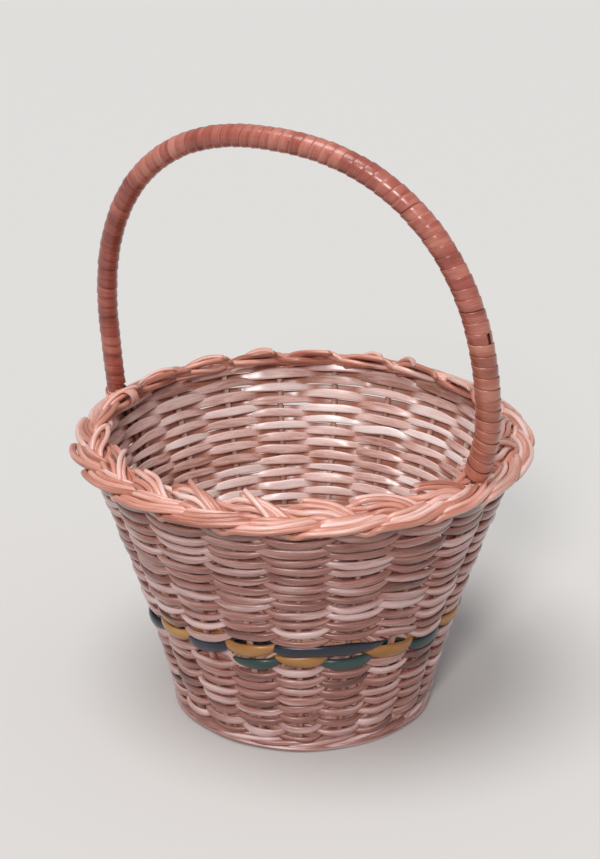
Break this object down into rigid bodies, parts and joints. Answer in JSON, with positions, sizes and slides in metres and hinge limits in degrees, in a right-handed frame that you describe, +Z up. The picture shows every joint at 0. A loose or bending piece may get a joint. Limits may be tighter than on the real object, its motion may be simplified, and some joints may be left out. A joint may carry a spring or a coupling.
{
  "type": "cane basket with bow handle",
  "caption": "Round tapered cane basket woven on upright stakes, with a plaited border, a dyed band and a fixed bow handle wrapped in cane.",
  "frame": {"origin": "on the basket's axis, in the plane that its bottom wale stands on", "axes": "+Z up; +X towards the near foot of the bow handle, which spans the basket along X; -Y is the side that the bow leans to"},
  "size_m": [0.3469, 0.3455, 0.4606],
  "materials": {
    "base_willow": "dry split willow, matt",
    "stake_willow": "round willow rod, satin",
    "siding_willow": "split willow, round satin side out and pale flat side in",
    "dyed_dark_willow": "split willow dyed dark blue-green, drifting to navy, satin",
    "dyed_yellow_willow": "split willow dyed ochre yellow, satin",
    "border_rods": "round willow rods, glossy, orange-pink",
    "bow_rod": "thick willow rod, matt",
    "wrapping_cane": "flat cane strip, stained red-brown, glossy",
    "lashing_cane": "flat cane strip, pale, satin"
  },
  "bodies": {
    "root": {"base_stick_split_1": "base_willow", "base_stick_split_2": "base_willow", "base_stick_split_3": "base_willow", "base_stick_through_1": "base_willow", "base_stick_through_2": "base_willow", "base_stick_through_3": "base_willow", "base_weave": "base_willow", "stake_01": "stake_willow", "stake_02": "stake_willow", "stake_03": "stake_willow", "stake_04": "stake_willow", "stake_05": "stake_willow", "stake_06": "stake_willow", "stake_07": "stake_willow", "stake_08": "stake_willow", "stake_09": "stake_willow", "stake_10": "stake_willow", "stake_11": "stake_willow", "stake_12": "stake_willow", "stake_13": "stake_willow", "stake_14": "stake_willow", "stake_15": "stake_willow", "stake_16": "stake_willow", "stake_17": "stake_willow", "stake_18": "stake_willow", "stake_19": "stake_willow", "stake_20": "stake_willow", "stake_21": "stake_willow", "bottom_wale": "siding_willow", "lower_siding": "siding_willow", "dyed_row": "dyed_dark_willow", "dyed_overlap": "dyed_yellow_willow", "upper_siding": "siding_willow", "border_strand_1": "border_rods", "border_strand_2": "border_rods", "border_strand_3": "border_rods", "bow_core": "bow_rod", "bow_wrap_1": "wrapping_cane", "bow_wrap_2": "wrapping_cane", "bow_wrap_3": "wrapping_cane", "bow_wrap_4": "wrapping_cane", "foot_lashing": "lashing_cane"}
  },
  "joints": []
}
